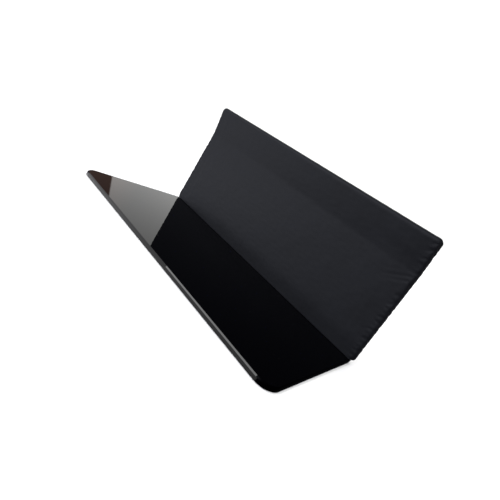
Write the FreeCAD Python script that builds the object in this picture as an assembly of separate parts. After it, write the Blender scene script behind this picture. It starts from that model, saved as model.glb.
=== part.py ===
import FreeCAD, Part
import math
import os

# Padded L-shaped kick plate. All sizes in millimetres.
# +X runs along the fold, -Y towards the free edge of the floor leg, +Z up the padded leg.
# The origin is the middle of the footprint, on the underside of the floor leg.

# ---- formed gloss plate -------------------------------------------------------------
PLATE_LENGTH = 400.0        # along the fold
SHEET = 5.0                 # sheet thickness
FLOOR_REACH = 177.0         # from the padded face to the free edge of the floor leg
CORNER_R = 18.0             # rounded free corners of the floor leg
ARRIS = 1.2                 # polished bevel along the upper arris of the free edges
FOLD_IN_R = 3.5             # inside radius of the right-angle fold
LIP_ANGLE = 9.4             # forward lean of the lip, degrees
LIP_BEND_R = 25.0           # radius of the padded face where the lip leans forward
LIP_BEND_HEIGHT = 130.0     # where the lip starts, above the floor leg
TOP_CORNER_R = 6.0          # hidden top corners of the sheet

# ---- padding and cover --------------------------------------------------------------
PAD_HEIGHT = 177.0          # top of the covered leg above the floor leg
FOAM = 3.0                  # foam in front of the sheet and round its three edges
COVER = 1.0                 # cover skin
HEM_WIDTH = 20.0            # cover turned over onto the back of the sheet
COVER_CORNER_R = 7.0        # corners of the covered leg seen from the front

# ---- mounting tape ------------------------------------------------------------------
TAPE = 2.0                  # tape thickness, stands clear of the hem
TAPE_WIDTH = 25.0
TAPE_END_GAP = 10.0         # from the hem to the end of a strip
TAPE_MARGIN = 8.0           # from the fold to the lowest strip, and from the top one to what is above
TAPE_NAMES = ("tape_lower", "tape_middle", "tape_upper")

# ---- derived ------------------------------------------------------------------------
ANGLE = math.radians(LIP_ANGLE)
STACK = COVER + FOAM + SHEET + COVER            # padded face to the back of the hem
BACK = COVER + FOAM + SHEET                     # padded face to the back of the sheet
DEPTH = FLOOR_REACH + BACK + TAPE
FACE_Y = DEPTH / 2.0 - BACK - TAPE              # the padded face
FLOOR_TOP = SHEET
BEND_Z = FLOOR_TOP + LIP_BEND_HEIGHT - LIP_BEND_R * math.tan(ANGLE / 2.0)
LIP_DROP = LIP_BEND_R * math.sin(ANGLE)
CROWN = 0.5 * STACK * math.sin(ANGLE)           # the round top edge peaks behind the face
LIP_LENGTH = (FLOOR_TOP + PAD_HEIGHT - CROWN - BEND_Z - LIP_DROP) / math.cos(ANGLE)
HEM_FOOT = FLOOR_TOP + FOLD_IN_R                # the hem stops where the fold begins
PAD_OVERHANG = FOAM + COVER
HEM_EDGE_Z = FLOOR_TOP + PAD_HEIGHT - PAD_OVERHANG - HEM_WIDTH
TAPE_LENGTH = PLATE_LENGTH - 2 * (HEM_WIDTH + TAPE_END_GAP)
TAPE_FOOT_Z = HEM_FOOT + TAPE_MARGIN
TAPE_HEAD_Z = min(BEND_Z, HEM_EDGE_Z) - TAPE_MARGIN
TAPE_PITCH = (TAPE_HEAD_Z - TAPE_FOOT_Z - TAPE_WIDTH) / (len(TAPE_NAMES) - 1)
EASE = 0.01                                     # a cutting body starts this much inside its face


def vec(x, y, z):
    return FreeCAD.Vector(x, y, z)


def leg_point(depth, along):
    """Point of the lip, depth behind the padded face and along from the end of the bend."""
    y = -LIP_BEND_R + (LIP_BEND_R + depth) * math.cos(ANGLE) - along * math.sin(ANGLE)
    z = BEND_Z + (LIP_BEND_R + depth) * math.sin(ANGLE) + along * math.cos(ANGLE)
    return vec(0, FACE_Y + y, z)


def bend_point(depth, share):
    """Point of the bend between the straight leg and the lip."""
    turn = ANGLE * share
    y = -LIP_BEND_R + (LIP_BEND_R + depth) * math.cos(turn)
    z = BEND_Z + (LIP_BEND_R + depth) * math.sin(turn)
    return vec(0, FACE_Y + y, z)


def leg_section(front, back, low, short):
    """Closed wire of the upright leg between two depths; short trims the top end."""
    f0 = vec(0, FACE_Y + front, low)
    b0 = vec(0, FACE_Y + back, low)
    end = LIP_LENGTH - short
    edges = [
        Part.LineSegment(f0, bend_point(front, 0)).toShape(),
        Part.Arc(bend_point(front, 0), bend_point(front, 0.5), bend_point(front, 1)).toShape(),
        Part.LineSegment(bend_point(front, 1), leg_point(front, end)).toShape(),
        Part.LineSegment(leg_point(front, end), leg_point(back, end)).toShape(),
        Part.LineSegment(leg_point(back, end), bend_point(back, 1)).toShape(),
        Part.Arc(bend_point(back, 1), bend_point(back, 0.5), bend_point(back, 0)).toShape(),
        Part.LineSegment(bend_point(back, 0), b0).toShape(),
        Part.LineSegment(b0, f0).toShape(),
    ]
    return Part.Wire(edges)


def along_x(wire, half):
    """Extrude a section both ways from the middle."""
    wire = wire.copy()
    wire.translate(vec(-half, 0, 0))
    return Part.Face(wire).extrude(vec(2 * half, 0, 0))


def is_across_sheet(edge, shape_x, front_y):
    """True for the short upright edges at the free corners of the floor leg."""
    box = edge.BoundBox
    upright = box.ZLength > SHEET * 0.9 and box.XLength < 0.01 and box.YLength < 0.01
    return upright and abs(box.YMin - front_y) < 0.01 and abs(abs(box.XMin) - shape_x) < 0.01


def corner_edges(shape, half, thickness, low_z, high_z):
    """The short edges through a leg's thickness at its corners, between two heights."""
    found = []
    for edge in shape.Edges:
        box = edge.BoundBox
        at_end = abs(abs(box.XMin) - half) < 0.01 and box.XLength < 0.01
        through = abs(edge.Length - thickness) < 0.01
        if at_end and through and low_z < box.ZMin < high_z:
            found.append(edge)
    return found


def nose_edges(shape, half, thickness, low):
    """Every outside edge of a leg blank except those at its foot and across its thickness."""
    found = []
    for edge in shape.Edges:
        box = edge.BoundBox
        at_foot = box.ZMax < low + 0.01
        at_end = abs(abs(box.XMin) - half) < 0.01 and box.XLength < 0.01
        across_top = box.XLength > half
        if at_foot:
            continue
        if at_end and abs(edge.Length - thickness) > 0.01:
            found.append(edge)
        elif across_top and box.ZMin > BEND_Z + 0.5 * LIP_LENGTH:
            found.append(edge)
        elif not at_end and not across_top:
            found.append(edge)
    return found


def padded_blank(inset):
    """Rounded slab of the covered leg, inset evenly from its outside."""
    half = PLATE_LENGTH / 2.0 + PAD_OVERHANG - inset
    low = FLOOR_TOP
    thickness = STACK - 2 * inset
    slab = along_x(leg_section(inset, STACK - inset, low, inset), half)
    corners = corner_edges(slab, half, thickness, low - 1.0, 10.0 * PAD_HEIGHT)
    slab = slab.makeFillet(COVER_CORNER_R - inset, corners)
    return slab.makeFillet(thickness / 2.0 - 0.15, nose_edges(slab, half, thickness, low))


def make_plate():
    """Formed sheet: floor leg, right-angle fold, upright leg and forward lip."""
    front_y = FACE_Y - FLOOR_REACH
    inner_y = FACE_Y + COVER + FOAM
    outer_y = FACE_Y + BACK
    in_r = FOLD_IN_R
    out_r = FOLD_IN_R + SHEET
    cy = inner_y - in_r
    cz = FLOOR_TOP + in_r
    s = math.sin(math.pi / 4.0)
    top_short = PAD_OVERHANG
    end = LIP_LENGTH - top_short
    f = COVER + FOAM
    b = BACK
    edges = [
        Part.LineSegment(vec(0, front_y, 0), vec(0, cy, 0)).toShape(),
        Part.Arc(vec(0, cy, 0), vec(0, cy + out_r * s, cz - out_r * s), vec(0, outer_y, cz)).toShape(),
        Part.LineSegment(vec(0, outer_y, cz), bend_point(b, 0)).toShape(),
        Part.Arc(bend_point(b, 0), bend_point(b, 0.5), bend_point(b, 1)).toShape(),
        Part.LineSegment(bend_point(b, 1), leg_point(b, end)).toShape(),
        Part.LineSegment(leg_point(b, end), leg_point(f, end)).toShape(),
        Part.LineSegment(leg_point(f, end), bend_point(f, 1)).toShape(),
        Part.Arc(bend_point(f, 1), bend_point(f, 0.5), bend_point(f, 0)).toShape(),
        Part.LineSegment(bend_point(f, 0), vec(0, inner_y, cz)).toShape(),
        Part.Arc(vec(0, inner_y, cz), vec(0, cy + in_r * s, cz - in_r * s),
                 vec(0, cy, FLOOR_TOP)).toShape(),
        Part.LineSegment(vec(0, cy, FLOOR_TOP), vec(0, front_y, FLOOR_TOP)).toShape(),
        Part.LineSegment(vec(0, front_y, FLOOR_TOP), vec(0, front_y, 0)).toShape(),
    ]
    half = PLATE_LENGTH / 2.0
    plate = along_x(Part.Wire(edges), half)
    free = [e for e in plate.Edges if is_across_sheet(e, half, front_y)]
    plate = plate.makeFillet(CORNER_R, free)
    tops = corner_edges(plate, half, SHEET, BEND_Z + 0.5 * LIP_LENGTH, 10.0 * PAD_HEIGHT)
    plate = plate.makeFillet(TOP_CORNER_R, tops)
    arris = []
    for edge in plate.Edges:
        box = edge.BoundBox
        flat = abs(box.ZMin - FLOOR_TOP) < 0.01 and abs(box.ZMax - FLOOR_TOP) < 0.01
        if flat and box.YMax < FACE_Y - 0.5 * FLOOR_REACH and box.YMin < front_y + CORNER_R:
            arris.append(edge)
    return plate.makeChamfer(ARRIS, arris) if ARRIS > 0 else plate


def behind_fold():
    """The space from the front of the upright sheet backwards, below where the fold ends."""
    return Part.makeBox(PLATE_LENGTH, 2 * STACK, HEM_FOOT,
                        vec(-PLATE_LENGTH / 2.0, FACE_Y + PAD_OVERHANG, 0))


def hem_window():
    """The back of the cover inside its hems."""
    half = PLATE_LENGTH / 2.0 - HEM_WIDTH
    back = along_x(leg_section(BACK - EASE, 2 * STACK, 0, 0), half)
    below_hem = Part.makeBox(2 * half, 4 * STACK, HEM_EDGE_Z, vec(-half, FACE_Y - 2 * STACK, 0))
    return back.common(below_hem)


def make_foam(plate):
    """Foam over the front of the upright leg and round its ends and top."""
    return padded_blank(COVER).cut(plate).cut(behind_fold())


def make_cover(plate):
    """Skin over the foam, turned over onto the back of the sheet on three sides."""
    skin = padded_blank(0.0).cut(padded_blank(COVER)).cut(plate)
    return skin.cut(hem_window()).cut(behind_fold())


def make_tape(index):
    """One strip of double-sided foam tape on the back of the sheet."""
    foot = TAPE_FOOT_Z + index * TAPE_PITCH
    return Part.makeBox(TAPE_LENGTH, TAPE, TAPE_WIDTH,
                        vec(-TAPE_LENGTH / 2.0, FACE_Y + BACK, foot))


def single(shape, name):
    """The one solid of a piece."""
    shape = shape.removeSplitter()
    if len(shape.Solids) != 1:
        sizes = [round(s.Volume, 2) for s in shape.Solids]
        raise RuntimeError(name + " has solids " + str(sizes))
    return shape.Solids[0]


def main():
    os.makedirs("parts", exist_ok=True)
    plate = make_plate()
    pieces = {"plate": plate, "foam": make_foam(plate), "cover": make_cover(plate)}
    for index, name in enumerate(TAPE_NAMES):
        pieces[name] = make_tape(index)
    for name, shape in pieces.items():
        solid = single(shape, name)
        solid.exportStep("parts/" + name + ".step")
        box = solid.BoundBox
        print(name, "valid", solid.isValid(), "volume cm3", round(solid.Volume / 1000.0, 2),
              "x", round(box.XMin, 2), round(box.XMax, 2), "y", round(box.YMin, 2),
              round(box.YMax, 2), "z", round(box.ZMin, 2), round(box.ZMax, 2))


main()
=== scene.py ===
import bpy
import math
import numpy as np
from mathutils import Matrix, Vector


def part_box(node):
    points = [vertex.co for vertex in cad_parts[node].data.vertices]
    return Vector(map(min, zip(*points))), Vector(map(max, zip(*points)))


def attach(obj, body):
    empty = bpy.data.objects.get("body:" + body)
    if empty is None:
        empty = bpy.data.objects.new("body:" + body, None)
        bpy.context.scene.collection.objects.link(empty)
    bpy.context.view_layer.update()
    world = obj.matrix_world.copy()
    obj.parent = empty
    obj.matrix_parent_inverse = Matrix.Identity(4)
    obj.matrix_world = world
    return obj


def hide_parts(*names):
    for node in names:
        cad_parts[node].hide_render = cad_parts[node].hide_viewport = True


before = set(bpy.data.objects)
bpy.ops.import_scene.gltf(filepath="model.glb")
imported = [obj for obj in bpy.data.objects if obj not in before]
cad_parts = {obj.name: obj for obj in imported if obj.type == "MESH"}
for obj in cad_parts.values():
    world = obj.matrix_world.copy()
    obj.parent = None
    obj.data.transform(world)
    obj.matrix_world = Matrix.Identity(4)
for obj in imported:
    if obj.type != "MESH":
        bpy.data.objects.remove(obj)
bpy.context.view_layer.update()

# Padded L-shaped kick plate, in metres, in the CAD frame.
# +X runs along the fold, -Y towards the free edge of the floor leg, +Z up the padded leg.

MM = 0.001

# ---- the padded leg, from the CAD boxes and the same sizes as the CAD source ----------
COVER_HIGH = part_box("cover")[1]
PLATE_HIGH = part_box("plate")[1]
TAPE_FRONT_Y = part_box("tape_lower")[0].y
END_X = COVER_HIGH.x                    # outside of the cover at the ends
SHEET_END_X = PLATE_HIGH.x              # end of the plate inside it
STACK = 10.0 * MM                       # padded face to the back of the hem
SHEET_BACK = 9.0 * MM                   # padded face to the back of the plate
SHEET_FRONT = 4.0 * MM                  # padded face to the front of the plate
FACE_Y = TAPE_FRONT_Y - SHEET_BACK       # the tape starts at the back of the sheet
FOOT_Z = 5.0 * MM                       # top of the floor leg
LIP_ANGLE = math.radians(9.4)
LIP_BEND_R = 25.0 * MM
BEND_RISE = 127.94 * MM                 # straight part of the leg
LIP_LENGTH = 44.8 * MM
NOSE_R = 0.5 * STACK
CORNER_R = 7.0 * MM
HEM_WIDTH = 20.0 * MM
SKIN = 0.7 * MM                         # thinner than the CAD cover, to clear the sheet in the nose
TUCK_R = 5.0 * MM                       # the ends of the cover close under at the fold
FOLD_R = 3.5 * MM

LEG_TOP = BEND_RISE + LIP_BEND_R * LIP_ANGLE + LIP_LENGTH
IN_X = END_X - NOSE_R                   # where the flat face ends and the nose begins
IN_S = LEG_TOP - NOSE_R
ARC_R = CORNER_R - NOSE_R               # in-plane corner of that outline


def leg_place(x, s, depth):
    """World place of points x along the fold, s up the padded face and depth behind it."""
    x, s, depth = np.broadcast_arrays(x, s, depth)
    turn = np.clip((s - BEND_RISE) / LIP_BEND_R, 0.0, LIP_ANGLE)
    beyond = np.maximum(s - BEND_RISE - LIP_BEND_R * LIP_ANGLE, 0.0)
    straight = np.minimum(s, BEND_RISE)
    radius = LIP_BEND_R + depth
    y = FACE_Y - LIP_BEND_R + radius * np.cos(turn) - beyond * np.sin(turn)
    z = FOOT_Z + straight + radius * np.sin(turn) + beyond * np.cos(turn)
    return np.stack([x, y, z], axis=-1)


# ---- small mesh helpers ---------------------------------------------------------------
def mesh_object(name, points, faces, smooth=True):
    mesh = bpy.data.meshes.new(name)
    mesh.from_pydata([tuple(p) for p in points], [], [tuple(f) for f in faces])
    mesh.validate()
    mesh.update()
    mesh.polygons.foreach_set("use_smooth", [smooth] * len(mesh.polygons))
    obj = bpy.data.objects.new(name, mesh)
    bpy.context.scene.collection.objects.link(obj)
    return obj


def points_of(obj):
    flat = np.zeros(len(obj.data.vertices) * 3)
    obj.data.vertices.foreach_get("co", flat)
    return flat.reshape(-1, 3)


def set_points(obj, points):
    obj.data.vertices.foreach_set("co", points.astype(np.float32).ravel())
    obj.data.update()


def point_normals(points, faces):
    """Area-weighted normals of quads and triangles."""
    normals = np.zeros_like(points)
    for size in (3, 4):
        chosen = np.array([f for f in faces if len(f) == size], int)
        if not len(chosen):
            continue
        a, b, c = points[chosen[:, 0]], points[chosen[:, 1]], points[chosen[:, 2]]
        across = np.cross(b - a, c - a) if size == 3 else np.cross(c - a, points[chosen[:, 3]] - b)
        for k in range(size):
            np.add.at(normals, chosen[:, k], across)
    return normals / np.maximum(np.linalg.norm(normals, axis=1), 1e-12)[:, None]


# ---- the shell of the padded leg: one sheet of cells over face, nose and hem ------------
def spaced(low, high, coarse, fine, border):
    """Places from low to high, fine within border of both ends and coarse between."""
    places = [low]
    while places[-1] < high - 1e-9:
        at = places[-1]
        near = min(at - low, high - at) < border
        places.append(min(high, at + (fine if near else coarse)))
    if len(places) > 2 and places[-1] - places[-2] < 0.5 * fine:
        places.pop(-2)
    return places


def rounded_path(xs, ss):
    """The outline of the flat face from the far foot, over the top, to the near foot.

    Each entry is (x, s, outward x, outward s); the top corners are small arcs."""
    left, right, top = -IN_X, IN_X, IN_S
    path = [(left, s, -1.0, 0.0) for s in ss]
    for k in range(1, ARC_STEPS):
        a = 0.5 * math.pi * k / ARC_STEPS
        path.append((left + ARC_R - ARC_R * math.cos(a), top - ARC_R + ARC_R * math.sin(a),
                     -math.cos(a), math.sin(a)))
    path += [(x, top, 0.0, 1.0) for x in xs]
    for k in range(1, ARC_STEPS):
        a = 0.5 * math.pi * (1 - k / ARC_STEPS)
        path.append((right - ARC_R + ARC_R * math.cos(a), top - ARC_R + ARC_R * math.sin(a),
                     math.cos(a), math.sin(a)))
    path += [(right, s, 1.0, 0.0) for s in reversed(ss)]
    return path


ARC_STEPS = 6


class Shell:
    """Cells over the flat face (x by s), then columns of cells across the nose and the hem."""

    def __init__(self, cell, fine, rise_cell):
        self.xs = spaced(-IN_X + ARC_R, IN_X - ARC_R, cell, fine, 30 * MM)
        self.ss = spaced(0.0, IN_S - ARC_R, rise_cell, rise_cell, 0.0)
        cols = [-IN_X] + self.xs + [IN_X]
        rows = self.ss + [IN_S]
        self.flat = []
        self.index = {}
        last_i, last_j = len(cols) - 1, len(rows) - 1
        for i, x in enumerate(cols):
            for j, s in enumerate(rows):
                if i in (0, last_i) and j == last_j:
                    continue
                self.index[i, j] = len(self.flat)
                self.flat.append((x, s))
        self.path = rounded_path(self.xs, self.ss)
        self.faces = []
        rim = [self.index[0, j] for j in range(last_j)]
        for k in range(1, ARC_STEPS):
            rim.append(len(self.flat))
            self.flat.append(self.path[len(rim) - 1][:2])
        rim += [self.index[i, last_j] for i in range(1, last_i)]
        for k in range(1, ARC_STEPS):
            rim.append(len(self.flat))
            self.flat.append(self.path[len(rim) - 1][:2])
        rim += [self.index[last_i, j] for j in reversed(range(last_j))]
        self.rim = rim
        self.face_count = len(self.flat)
        for i in range(last_i):
            for j in range(last_j):
                at_corner = i in (0, last_i - 1) and j == last_j - 1
                if not at_corner:
                    self.faces.append((self.index[i, j], self.index[i + 1, j],
                                       self.index[i + 1, j + 1], self.index[i, j + 1]))
        self.fan(last_j - 1, self.index[1, last_j - 1])
        self.fan(len(rim) - last_j - ARC_STEPS, self.index[last_i - 1, last_j - 1])

    def fan(self, start, centre):
        """Triangles that round off a top corner of the flat face."""
        for k in range(start, start + ARC_STEPS):
            self.faces.append((centre, self.rim[k + 1], self.rim[k]))

    def with_band(self, steps):
        """Faces with steps more cells from the rim outwards; the new points follow, column by column."""
        faces = list(self.faces)
        count = self.face_count

        def at(column, step):
            return self.rim[column] if step == 0 else count + column * steps + step - 1

        for column in range(len(self.rim) - 1):
            for step in range(steps):
                faces.append((at(column, step), at(column + 1, step),
                              at(column + 1, step + 1), at(column, step + 1)))
        return faces, [[at(c, k) for k in range(steps + 1)] for c in range(len(self.rim))]


def tuck(s, outward_x):
    """Share of its full reach that the nose of the two ends has at height s: it closes at the foot."""
    if outward_x == 0 or s >= TUCK_R:
        return 1.0
    return math.sqrt(max(0.0, 1.0 - (1.0 - s / TUCK_R) ** 2))


def nose_points(x, s, out_x, out_s, inset, steps):
    """The round nose of one column, from the face to the back, inset from the outside."""
    radius = NOSE_R - inset
    stand = tuck(s, out_x) * radius
    for k in range(1, steps + 1):
        a = math.pi * k / steps
        reach = stand * math.sin(a)
        depth = NOSE_R - radius * math.cos(a)
        if SHEET_FRONT - MM < depth < SHEET_BACK:
            reach = max(reach, CLEAR_REACH)
        yield x + out_x * reach, s + out_s * reach, depth


def hem_reach(x, s, out_x, out_s):
    """How far the hem goes inwards: its width, less near the mitred corners."""
    depth = HEM_WIDTH - NOSE_R
    if abs(out_x) == 1.0:
        return min(depth, IN_S - ARC_R - s + MITRE_START)
    if abs(out_s) == 1.0:
        return min(depth, IN_X - ARC_R - abs(x) + MITRE_START)
    return MITRE_START


def hem_points(column, path, steps):
    """The hem of one column: from the back of the nose inwards to its cut edge."""
    x, s, out_x, out_s = path[column]
    reach = hem_reach(x, s, out_x, out_s)
    wave = 0.30 * MM * math.sin(0.61 * column) + 0.25 * MM * math.sin(0.237 * column + 1.0)
    reach += wave * min(1.0, max(0.0, reach / HEM_WIDTH - 0.2))
    for k in range(1, steps + 1):
        inward = reach * k / steps
        yield x - out_x * inward, s - out_s * inward, STACK


CLEAR_REACH = SHEET_END_X - IN_X + SKIN + 0.1 * MM      # keeps the cover outside the end of the sheet
MITRE_START = 1.6 * MM
NOSE_STEPS = 8
HEM_STEPS = 7


def cover_points(shell):
    points = [leg_place(x, s, 0.0) for x, s in shell.flat]
    for column, (x, s, out_x, out_s) in enumerate(shell.path):
        for px, ps, depth in nose_points(x, s, out_x, out_s, 0.0, NOSE_STEPS):
            points.append(leg_place(px, ps, depth))
        for px, ps, depth in hem_points(column, shell.path, HEM_STEPS):
            points.append(leg_place(px, ps, depth))
    return np.array(points)


shell = Shell(3.0 * MM, 1.8 * MM, 2.0 * MM)
cover_faces, cover_columns = shell.with_band(NOSE_STEPS + HEM_STEPS)
cover_base = cover_points(shell)
cover = mesh_object("cover_skin", cover_base, cover_faces)


# ---- the cover as cloth: held in the fold and under the hem, gathered round the two ends ------
SIM_SCALE = 10.0                        # the solver is steadier on a larger copy
SIM_FRAMES = 20
GATHER = 0.12                           # extra cloth let in along the ends
GATHER_REACH = 9 * MM
CAP_OUT = 0.40 * MM
CAP_IN = 0.6 * MM


def soft_noise(points, size, seed):
    """Smooth noise between -1 and 1, made of a few plane waves about size long."""
    random = np.random.default_rng(seed)
    total = np.zeros(len(points))
    for _ in range(14):
        direction = random.normal(size=3)
        direction /= np.linalg.norm(direction)
        wave = size * random.uniform(0.7, 1.6)
        total += np.sin(points @ direction * (2 * math.pi / wave) + random.uniform(0, 2 * math.pi))
    return total / 14 ** 0.5 / 1.6


def leg_height(points):
    """Height up the padded face of points on the cover, near enough for weights."""
    return points[:, 2] - FOOT_Z


def hold_weights(base, columns):
    """How firmly each point is held: fully under the hem and in the fold, loosely on the nose."""
    inside = np.clip((IN_X - np.abs(base[:, 0])) / (5.0 * MM), 0.0, 1.0)
    weight = 0.22 + 0.5 * inside
    height = leg_height(base)
    weight = np.maximum(weight, np.clip(1.0 - height / (2.0 * MM), 0.0, 1.0))
    for column in columns:
        for step in range(NOSE_STEPS - 2, len(column)):
            weight[column[step]] = 1.0
        for step in range(NOSE_STEPS - 4, NOSE_STEPS - 2):
            weight[column[step]] = max(weight[column[step]], 0.6)
    return weight


def gather_weights(base):
    """Where the extra cloth is: unevenly along both ends."""
    from_end = SHEET_END_X - np.abs(base[:, 0])
    ends = np.clip(1.0 - np.maximum(from_end, 0.0) / GATHER_REACH, 0.0, 1.0) ** 1.5
    uneven = 0.6 + 0.5 * soft_noise(base, 34 * MM, 11)
    return np.clip(ends * uneven, 0.0, 1.0)


def simulate_cover(obj, base, columns):
    """Runs the cloth solver on a larger copy and returns how far each point moved."""
    copy = bpy.data.objects.new("cloth_copy", obj.data.copy())
    bpy.context.scene.collection.objects.link(copy)
    normals = point_normals(base, cover_faces)
    start = base + normals * (0.10 * MM * soft_noise(base, 9 * MM, 5))[:, None]
    set_points(copy, start * SIM_SCALE)
    held = copy.vertex_groups.new(name="held")
    gathered = copy.vertex_groups.new(name="not_gathered")
    for i, (h, g) in enumerate(zip(hold_weights(base, columns), gather_weights(base))):
        held.add([i], float(h), "REPLACE")
        gathered.add([i], 1.0 - float(g), "REPLACE")
    modifier = copy.modifiers.new("cloth", "CLOTH")
    cloth = modifier.settings
    cloth.quality = 5
    cloth.mass = 0.3
    cloth.tension_stiffness = 15
    cloth.compression_stiffness = 15
    cloth.shear_stiffness = 5
    cloth.bending_stiffness = 0.6
    cloth.tension_damping = 5
    cloth.compression_damping = 5
    cloth.bending_damping = 0.5
    cloth.air_damping = 2
    cloth.vertex_group_mass = "held"
    cloth.pin_stiffness = 1.0
    cloth.vertex_group_shrink = "not_gathered"
    cloth.shrink_min = -GATHER
    cloth.shrink_max = 0.0
    cloth.effector_weights.gravity = 0.0
    modifier.collision_settings.use_collision = False
    modifier.point_cache.frame_start = 1
    modifier.point_cache.frame_end = SIM_FRAMES
    for number in range(1, SIM_FRAMES + 1):
        bpy.context.scene.frame_set(number)
    evaluated = copy.evaluated_get(bpy.context.evaluated_depsgraph_get())
    moved = points_of(evaluated) / SIM_SCALE - base
    bpy.data.objects.remove(copy)
    return moved


def capped(moved, normals):
    """Movement with its part along the normal kept between the two caps."""
    along = (moved * normals).sum(axis=1)
    sideways = moved - along[:, None] * normals
    length = np.linalg.norm(sideways, axis=1)
    sideways *= np.minimum(1.0, CAP_OUT / np.maximum(length, 1e-9))[:, None]
    soft = np.where(along > 0, CAP_OUT * np.tanh(along / CAP_OUT), CAP_IN * np.tanh(along / CAP_IN))
    return sideways + soft[:, None] * normals


# ---- soft shape of the padded face: a crown, slow waves and a few creases ----------------------
CROWN = 0.30 * MM
WAVES = 0.12 * MM
WAVE_SIZE = 55 * MM
EDGE_BLEND = 30 * MM                    # the crown and the waves fade out this close to the edges

# Creases run from (x, s) to (x, s) on the padded face, in mm, with their width and depth.
CREASES = (
    (172.0, 104.5, 197.0, 117.0, 2.6, 0.42),
    (160.0, 103.5, 194.0, 122.0, 5.0, 0.34),
    (150.0, 107.0, 186.0, 126.0, 4.5, 0.18),
    (136.0, 146.0, 197.0, 138.0, 15.0, 0.55),
    (176.0, 112.0, 197.0, 124.0, 2.2, 0.30),
    (-197.0, 60.0, -178.0, 52.0, 4.0, 0.25),
    (-197.0, 118.0, -172.0, 110.0, 5.0, 0.25),
    (182.0, 40.0, 198.0, 46.0, 4.0, 0.20),
    (60.0, 176.0, 72.0, 158.0, 6.0, 0.15),
)


def crease_depth(x, s):
    """How far the padded face is pulled in by the creases at (x, s), in metres."""
    total = np.zeros_like(x)
    for x0, s0, x1, s1, width, depth in CREASES:
        start, end = np.array([x0, s0]) * MM, np.array([x1, s1]) * MM
        run = end - start
        length = np.linalg.norm(run)
        along = ((x - start[0]) * run[0] + (s - start[1]) * run[1]) / length ** 2
        across = ((x - start[0]) * run[1] - (s - start[1]) * run[0]) / length
        taper = np.clip(1.0 - np.abs(2.0 * along - 1.2) / 1.2, 0.0, 1.0)    # deepest past the middle
        total += depth * MM * taper ** 0.7 * np.exp(-(across / (0.5 * width * MM)) ** 2)
    return total


def face_shape(base):
    """Outward movement of the padded face: a slight crown, slow waves and the creases."""
    x, s = base[:, 0], base[:, 2] - FOOT_Z
    from_edge = np.minimum(np.minimum(IN_X - np.abs(x), IN_S - s), EDGE_BLEND) / EDGE_BLEND
    front = np.clip(from_edge, 0.0, 1.0)
    crown = CROWN * np.sin(0.5 * math.pi * front) * np.clip(s / EDGE_BLEND, 0.0, 1.0)
    waves = WAVES * soft_noise(base * [1.0, 0.0, 1.0], WAVE_SIZE, 3) * front
    return crown + waves - crease_depth(x, s) * np.clip(from_edge * 8.0 + 0.5, 0.0, 1.0)


cover_normals = point_normals(cover_base, cover_faces)
on_face = np.zeros(len(cover_base))
on_face[:shell.face_count] = 1.0
shaped = cover_base + cover_normals * (face_shape(cover_base) * on_face)[:, None]
moved = np.zeros_like(shaped)
moved = capped(simulate_cover(cover, shaped, cover_columns), cover_normals)
cover_final = shaped + moved
set_points(cover, cover_final)

subdivide = cover.modifiers.new("smooth", "SUBSURF")
subdivide.levels = subdivide.render_levels = 1
thicken = cover.modifiers.new("skin", "SOLIDIFY")
thicken.thickness = SKIN
thicken.offset = -1.0


# ---- foam: fills the space between the cover and the sheet -------------------------------------
SHEET_OVER = 1.25 * MM                  # the foam lies this far outside the flat face's outline
SHEET_GAP = 0.20 * MM                   # between the foam and the front of the sheet
FOAM_GAP = 0.45 * MM                    # between the cover's inside and the foam
FOAM_BACK = 6.6 * MM                    # the foam stops short of the back of the sheet
FOAM_STEPS = 5                          # nose steps that the foam follows


def open_edges(faces):
    """Edges used by one face only, in that face's direction."""
    once = {}
    for face in faces:
        for a, b in zip(face, face[1:] + face[:1]):
            if (b, a) in once:
                del once[b, a]
            else:
                once[a, b] = True
    return list(once)


def make_foam():
    """The pad: its outside follows the cover, its inside the sheet, closed along the open edges."""
    faces = shell.with_band(FOAM_STEPS)[0]
    taken = list(range(shell.face_count))
    for column in cover_columns:
        taken += column[1:FOAM_STEPS + 1]
    normals = point_normals(cover_final, cover_faces)
    outer = (cover_final - normals * (SKIN + FOAM_GAP))[taken]
    for index in range(shell.face_count, len(outer)):
        column, step = divmod(index - shell.face_count, FOAM_STEPS)
        if abs(shell.path[column][2]) == 1.0 and step > 0:
            side = math.copysign(1.0, shell.path[column][0])
            outer[index, 0] = side * max(abs(outer[index, 0]), IN_X + SHEET_OVER)
    grow_x = (IN_X + SHEET_OVER) / IN_X
    grow_s = (IN_S + SHEET_OVER - FOLD_R) / IN_S
    front = SHEET_FRONT - SHEET_GAP
    inner = [leg_place(x * grow_x, FOLD_R + s * grow_s, front) for x, s in shell.flat]
    for x, s, out_x, out_s in shell.path:
        rise = FOLD_R + s * grow_s
        for step in range(1, FOAM_STEPS + 1):
            depth = front + (FOAM_BACK - SHEET_FRONT) * step / FOAM_STEPS
            inner.append(leg_place(x * grow_x, rise, depth))
    count = len(outer)
    back = [tuple(count + i for i in reversed(face)) for face in faces]
    sides = [(b, a, count + a, count + b) for a, b in open_edges(faces)]
    return mesh_object("foam_pad", np.concatenate([outer, np.array(inner)]), faces + back + sides)


foam = make_foam()


# ---- mounting tape: soft strips with pressed edges and scissor-cut ends ------------------------
TAPE_NODES = ("tape_lower", "tape_middle", "tape_upper")
TAPE_RINGS = 90
TAPE_EDGE_R = 0.5 * MM
TAPE_ARC = 4                            # points round each of the four edges
TAPE_WAVE = 0.12 * MM                   # the long edges wander by this much
TAPE_WAVE_TURN = 17.0                   # radians of that wave along a strip
TAPE_SLANT = 0.5 * MM                   # the most that an end is cut askew


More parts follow.
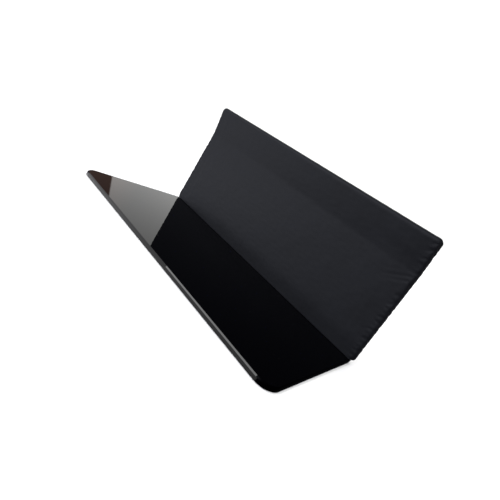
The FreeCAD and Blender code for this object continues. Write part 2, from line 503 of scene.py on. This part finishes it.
def tape_ring(low, high, wobble):
    """Cross-section of a strip, with softly rounded corners."""
    ring = []
    for y, z in ((low.y, high.z), (low.y, low.z), (high.y, low.z), (high.y, high.z)):
        inward_y = -1 if y == high.y else 1
        inward_z = -1 if z == high.z else 1
        centre = (y + inward_y * TAPE_EDGE_R, z + inward_z * TAPE_EDGE_R + wobble)
        arc = []
        for k in range(TAPE_ARC):
            a = 0.5 * math.pi * k / (TAPE_ARC - 1)
            arc.append((centre[0] - inward_y * TAPE_EDGE_R * math.cos(a),
                        centre[1] - inward_z * TAPE_EDGE_R * math.sin(a)))
        if inward_y * inward_z > 0:
            arc.reverse()
        ring += arc
    return ring


def make_tape(node, seed):
    low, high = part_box(node)
    points, faces = [], []
    cells = 4 * TAPE_ARC
    askew = TAPE_SLANT * math.sin(seed + 2.0)
    for i in range(TAPE_RINGS + 1):
        share = i / TAPE_RINGS
        x = low.x + (high.x - low.x) * share
        wobble = TAPE_WAVE * math.sin(TAPE_WAVE_TURN * share + seed) * math.sin(math.pi * share)
        at_end = {0: -1.0, TAPE_RINGS: 1.0}.get(i, 0.0)
        for y, z in tape_ring(low, high, wobble):
            points.append((x - at_end * askew * (z - low.z) / (high.z - low.z), y, z))
    for i in range(TAPE_RINGS):
        for k in range(cells):
            a = i * cells + k
            b = i * cells + (k + 1) % cells
            faces.append((a, b, b + cells, a + cells))
    faces.append(tuple(reversed(range(cells))))
    faces.append(tuple(range(TAPE_RINGS * cells, TAPE_RINGS * cells + cells)))
    return mesh_object(node.replace("tape", "tape_strip"), points, faces)


tapes = [make_tape(node, seed) for seed, node in enumerate(TAPE_NODES)]


# ---- materials ------------------------------------------------------------------------
class Paint:
    """A Principled material and the nodes that feed it, all in object coordinates."""

    def __init__(self, name, base, roughness, specular=0.5, ior=1.5):
        self.material = bpy.data.materials.new(name)
        self.material.use_nodes = True
        self.nodes, self.links = self.material.node_tree.nodes, self.material.node_tree.links
        self.shader = self.nodes["Principled BSDF"]
        self.shader.inputs["Base Color"].default_value = (*base, 1.0)
        self.shader.inputs["Roughness"].default_value = roughness
        self.shader.inputs["Specular IOR Level"].default_value = specular
        self.shader.inputs["IOR"].default_value = ior
        self.place = self.nodes.new("ShaderNodeTexCoord").outputs["Object"]

    def stretched(self, scale):
        node = self.nodes.new("ShaderNodeMapping")
        self.links.new(self.place, node.inputs["Vector"])
        node.inputs["Scale"].default_value = scale
        return node.outputs["Vector"]

    def noise(self, scale, detail=3.0, rough=0.5, place=None):
        node = self.nodes.new("ShaderNodeTexNoise")
        self.links.new(place or self.place, node.inputs["Vector"])
        node.inputs["Scale"].default_value = scale
        node.inputs["Detail"].default_value = detail
        node.inputs["Roughness"].default_value = rough
        return node.outputs["Fac"]

    def cells(self, scale, feature="F1", place=None):
        node = self.nodes.new("ShaderNodeTexVoronoi")
        node.feature = feature
        self.links.new(place or self.place, node.inputs["Vector"])
        node.inputs["Scale"].default_value = scale
        return node.outputs["Distance"]

    def ramp(self, value, low, high, to_low=0.0, to_high=1.0):
        node = self.nodes.new("ShaderNodeMapRange")
        self.links.new(value, node.inputs["Value"])
        node.inputs["From Min"].default_value = low
        node.inputs["From Max"].default_value = high
        node.inputs["To Min"].default_value = to_low
        node.inputs["To Max"].default_value = to_high
        return node.outputs["Result"]

    def maths(self, operation, a, b):
        node = self.nodes.new("ShaderNodeMath")
        node.operation = operation
        for slot, value in zip(node.inputs, (a, b)):
            if isinstance(value, (int, float)):
                slot.default_value = value
            else:
                self.links.new(value, slot)
        return node.outputs[0]

    def blend(self, share, first, second):
        node = self.nodes.new("ShaderNodeMix")
        node.data_type = "RGBA"
        self.links.new(share, node.inputs["Factor"])
        for name, value in zip(("A", "B"), (first, second)):
            if isinstance(value, tuple):
                node.inputs[name].default_value = (*value, 1.0)
            else:
                self.links.new(value, node.inputs[name])
        return node.outputs["Result"]

    def colour(self, value):
        self.links.new(value, self.shader.inputs["Base Color"])

    def roughness(self, value):
        self.links.new(value, self.shader.inputs["Roughness"])

    def bump(self, height, distance, strength=1.0):
        node = self.nodes.new("ShaderNodeBump")
        self.links.new(height, node.inputs["Height"])
        node.inputs["Distance"].default_value = distance
        node.inputs["Strength"].default_value = strength
        self.links.new(node.outputs["Normal"], self.shader.inputs["Normal"])


def gloss_paint():
    """Polished black sheet: faint smears, hairline scratches and a few grains of dust."""
    black = (0.0001, 0.0001, 0.0004)
    grain_of_dust = (0.035, 0.034, 0.032)
    paint = Paint("gloss_black_sheet", black, 0.02, 0.25, 1.3)
    smears = paint.ramp(paint.noise(9.0, 4.0, 0.6), 0.45, 0.75, 0.0, 0.030)
    lengthwise = paint.stretched((14.0, 1500.0, 1500.0))
    hairs = paint.ramp(paint.noise(1.0, 2.0, 0.5, lengthwise), 0.66, 0.72, 0.0, 0.05)
    paint.roughness(paint.maths("ADD", paint.maths("ADD", smears, hairs), 0.012))
    dust = paint.ramp(paint.cells(420.0), 0.055, 0.035)
    rare = paint.ramp(paint.noise(160.0, 0.0), 0.66, 0.70)
    paint.colour(paint.blend(paint.maths("MULTIPLY", dust, rare), black, grain_of_dust))
    paint.bump(paint.noise(38.0, 2.0, 0.4), 0.00001, 0.6)
    return paint.material


def leather_paint():
    """Satin black leathercloth: fine pebbled grain with dark pits, and soft tone changes."""
    paint = Paint("satin_black_cover", (0.025, 0.026, 0.032), 0.5, 0.3)
    pebbles = paint.cells(1150.0, "SMOOTH_F1")
    fine = paint.noise(2600.0, 3.0, 0.6)
    broad = paint.noise(24.0, 4.0, 0.55)
    grain = paint.maths("ADD", paint.ramp(pebbles, 0.1, 0.75), paint.maths("MULTIPLY", fine, 0.35))
    patches = paint.ramp(broad, 0.35, 0.65)
    tone = paint.blend(patches, (0.0225, 0.0233, 0.0288), (0.0275, 0.0287, 0.0352))
    pits = paint.ramp(pebbles, 0.45, 0.85, 0.0, 0.35)
    paint.colour(paint.blend(pits, tone, (0.014, 0.0145, 0.018)))
    slow_wear = paint.ramp(broad, 0.3, 0.7, 0.47, 0.53)
    by_pebble = paint.ramp(pebbles, 0.1, 0.8, -0.03, 0.05)
    paint.roughness(paint.maths("ADD", slow_wear, by_pebble))
    paint.bump(grain, 0.00005, 0.45)
    return paint.material


def foam_paint():
    """Closed-cell foam: matt grey with small burst cells."""
    paint = Paint("foam", (0.045, 0.045, 0.048), 0.9, 0.25)
    cells = paint.cells(1700.0)
    paint.colour(paint.blend(paint.ramp(cells, 0.2, 0.7), (0.052, 0.052, 0.056), (0.022, 0.022, 0.024)))
    paint.roughness(paint.ramp(paint.noise(300.0), 0.3, 0.7, 0.84, 0.96))
    paint.bump(cells, 0.00015, 0.8)
    return paint.material


def tape_paint():
    """Double-sided foam tape: dark grey foam under a thin tacky film with trapped bubbles."""
    paint = Paint("mounting_tape", (0.12, 0.12, 0.13), 0.55, 0.4)
    cells = paint.cells(1400.0)
    bubbles = paint.ramp(paint.cells(260.0), 0.16, 0.10)
    patches = paint.ramp(paint.noise(45.0, 4.0), 0.35, 0.65)
    shade = paint.blend(patches, (0.105, 0.105, 0.115), (0.135, 0.135, 0.145))
    pores = paint.maths("MULTIPLY", paint.ramp(cells, 0.25, 0.7), 0.35)
    paint.colour(paint.blend(pores, shade, (0.06, 0.06, 0.065)))
    tackiness = paint.ramp(paint.noise(90.0, 3.0), 0.3, 0.7, 0.38, 0.62)
    paint.roughness(paint.maths("ADD", tackiness, paint.maths("MULTIPLY", bubbles, 0.15)))
    paint.bump(paint.maths("ADD", paint.maths("MULTIPLY", cells, 0.5), bubbles), 0.00008, 0.6)
    return paint.material


def paint_over(obj, material):
    obj.data.materials.clear()
    obj.data.materials.append(material)


paint_over(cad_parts["plate"], gloss_paint())
paint_over(cover, leather_paint())
paint_over(foam, foam_paint())
tape_material = tape_paint()

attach(cover, "root")
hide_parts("cover")
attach(foam, "root")
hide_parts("foam")
for tape, node in zip(tapes, TAPE_NODES):
    paint_over(tape, tape_material)
    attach(tape, "root")
    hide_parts(node)

# ---- camera ---------------------------------------------------------------------------
# These four were solved by a least-squares match of the object's straight edges.
CAMERA_PLACE = (0.27675, -0.34581, 0.16400)
CAMERA_TURN = (75.684, -31.908, 41.031)      # degrees, about x, then y, then z
CAMERA_LENS = 25.42
CAMERA_SHIFT = (-0.0231, -0.0337)

camera_data = bpy.data.cameras.new("camera")
camera = bpy.data.objects.new("camera", camera_data)
bpy.context.scene.collection.objects.link(camera)
camera.location = CAMERA_PLACE
camera.rotation_euler = [math.radians(a) for a in CAMERA_TURN]
camera_data.sensor_width = 36.0
camera_data.lens = CAMERA_LENS
camera_data.shift_x, camera_data.shift_y = CAMERA_SHIFT
camera_data.clip_start = 0.01
camera_data.clip_end = 100.0
bpy.context.scene.camera = camera

# ---- studio ---------------------------------------------------------------------------
scene = bpy.context.scene
scene.view_settings.view_transform = "Standard"

FLOOR_HALF = 40.0
FLOOR_GAP = 0.0005                      # keeps the floor just under the plate
floor = mesh_object("floor", [(-FLOOR_HALF, -FLOOR_HALF, 0), (FLOOR_HALF, -FLOOR_HALF, 0),
                              (FLOOR_HALF, FLOOR_HALF, 0), (-FLOOR_HALF, FLOOR_HALF, 0)],
                    [(0, 1, 2, 3)], smooth=False)
floor.location.z = -FLOOR_GAP
floor.data.materials.append(Paint("pale_floor", (0.85, 0.85, 0.85), 0.9).material)
floor.visible_shadow = False
floor.visible_glossy = False
floor.visible_diffuse = False


def direction(azimuth, elevation):
    """Unit vector from degrees anticlockwise from +X and degrees above the floor."""
    a, e = math.radians(azimuth), math.radians(elevation)
    return Vector((math.cos(a) * math.cos(e), math.sin(a) * math.cos(e), math.sin(e)))


class Sky:
    """A studio seen by the object's light and reflections: soft patches on a dim room."""

    def __init__(self, base):
        world = bpy.data.worlds.new("studio")
        scene.world = world
        world.use_nodes = True
        self.nodes, self.links = world.node_tree.nodes, world.node_tree.links
        self.way = self.nodes.new("ShaderNodeTexCoord").outputs["Generated"]
        colour = self.nodes.new("ShaderNodeCombineColor")
        for channel, value in zip(("Red", "Green", "Blue"), base):
            colour.inputs[channel].default_value = value
        self.total = colour.outputs[0]

    def dot(self, axis):
        node = self.nodes.new("ShaderNodeVectorMath")
        node.operation = "DOT_PRODUCT"
        self.links.new(self.way, node.inputs[0])
        node.inputs[1].default_value = axis
        return node.outputs["Value"]

    def ramp(self, value, low, high):
        node = self.nodes.new("ShaderNodeMapRange")
        node.interpolation_type = "SMOOTHSTEP"
        self.links.new(value, node.inputs["Value"])
        node.inputs["From Min"].default_value = low
        node.inputs["From Max"].default_value = high
        return node.outputs["Result"]

    def times(self, a, b):
        node = self.nodes.new("ShaderNodeMath")
        node.operation = "MULTIPLY"
        self.links.new(a, node.inputs[0])
        self.links.new(b, node.inputs[1])
        return node.outputs[0]

    def add(self, amount, colour):
        node = self.nodes.new("ShaderNodeMix")
        node.data_type = "RGBA"
        node.blend_type = "ADD"
        node.clamp_result = False
        self.links.new(amount, node.inputs["Factor"])
        self.links.new(self.total, node.inputs["A"])
        node.inputs["B"].default_value = (*colour, 1.0)
        self.total = node.outputs["Result"]

    def patch(self, axis, inner, outer, colour):
        """A round soft patch of light, full within inner degrees and gone at outer."""
        spot = self.ramp(self.dot(axis), math.cos(math.radians(outer)), math.cos(math.radians(inner)))
        self.add(spot, colour)

    def finish(self, seen):
        """Everything but the camera sees this sky; the camera sees an even pale wall."""
        lit = self.nodes["Background"]
        self.links.new(self.total, lit.inputs["Color"])
        wall = self.nodes.new("ShaderNodeBackground")
        wall.inputs["Color"].default_value = (*seen, 1.0)
        path_info = self.nodes.new("ShaderNodeLightPath")
        mix = self.nodes.new("ShaderNodeMixShader")
        self.links.new(path_info.outputs["Is Camera Ray"], mix.inputs["Fac"])
        self.links.new(lit.outputs[0], mix.inputs[1])
        self.links.new(wall.outputs[0], mix.inputs[2])
        self.links.new(mix.outputs[0], self.nodes["World Output"].inputs["Surface"])


sky = Sky((0.015, 0.015, 0.017))
# The sheet mirrors a pale backdrop that ends at a straight edge, with something brown beside it.
BACKDROP_EDGE = (0.4419, 0.8561, -0.2679)
backdrop = sky.ramp(sky.dot(direction(118, 12)), math.cos(math.radians(48)), math.cos(math.radians(34)))
sky.add(sky.times(backdrop, sky.ramp(sky.dot(BACKDROP_EDGE), -0.002, 0.002)), (1.52, 1.52, 1.50))
sky.patch(direction(158, 17), 9, 14, (0.22, 0.12, 0.085))
sky.patch(direction(225, 25), 30, 85, (0.16, 0.165, 0.18))
sky.patch(direction(200, -12), 4, 24, (0.50, 0.51, 0.55))
sky.patch(direction(205, 35), 10, 35, (0.42, 0.43, 0.46))
sky.patch(direction(250, 35), 10, 35, (1.00, 1.03, 1.10))
sky.patch(direction(5, -5), 4, 22, (1.0, 1.0, 1.05))
sky.finish((1.1, 1.1, 1.1))


def aimed(light, place, target):
    light.location = place
    aim = Vector(target) - Vector(place)
    light.rotation_euler = aim.to_track_quat("-Z", "Y").to_euler()
    light.visible_camera = False
    scene.collection.objects.link(light)
    return light


def area_light(name, place, target, size, power, tint=(1.0, 1.0, 1.0)):
    data = bpy.data.lights.new(name, "AREA")
    data.shape = "RECTANGLE"
    data.size, data.size_y = size
    data.energy = power
    data.color = tint
    return aimed(bpy.data.objects.new(name, data), place, target)


# The powers of these lights began as a least-squares fit to the tones of the two legs, and so did
# the sky's base and its patches at azimuth 200, 205 and 250. All were then changed.
FACE_CENTRE = (0.0, 0.083, 0.09)
COOL = (0.96, 0.98, 1.06)
SOFT_LIGHTS = (
    ("front_left", (-0.55, -0.75, -0.06), 0.06, 0.33),
    ("far_left", (-0.90, -0.50, -0.05), 0.08, 0.30),
    ("close_left", (-0.45, -0.40, -0.02), 0.06, 0.09),
    ("front", (-0.30, -1.00, -0.10), 0.06, 0.26),
    ("high_left", (-0.60, -0.80, 0.50), 0.30, 1.00),
)
for name, place, side, power in SOFT_LIGHTS:
    area_light(name, place, FACE_CENTRE, (side, side), power, COOL)

# Panels that only the polished sheet mirrors: in its long arris and in its front edge.
only_sheet = bpy.data.collections.new("only_sheet")
only_sheet.objects.link(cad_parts["plate"])
MIRRORED_PANELS = (
    ("arris_near", (-0.50, -0.734, 1.018), (-0.50, -0.094, 0.0), (0.9, 0.7), 34.0),
    ("arris_far", (-1.58, -0.734, 1.018), (-1.58, -0.094, 0.0), (1.3, 0.7), 9.0),
    ("edge_panel", (-0.55, -0.73, -0.40), (0.0, -0.094, 0.0), (1.7, 0.5), 7.0),
)
for name, place, target, size, power in MIRRORED_PANELS:
    panel = area_light(name, place, target, size, power)
    panel.light_linking.receiver_collection = only_sheet

floor_sun_data = bpy.data.lights.new("floor_sun", "SUN")
floor_sun_data.energy = 3.6
floor_sun_data.angle = math.radians(80)
floor_sun = aimed(bpy.data.objects.new("floor_sun", floor_sun_data), (0, 0, 3), (0, 0, 0))
only_floor = bpy.data.collections.new("only_floor")
only_floor.objects.link(floor)
floor_sun.light_linking.receiver_collection = only_floor
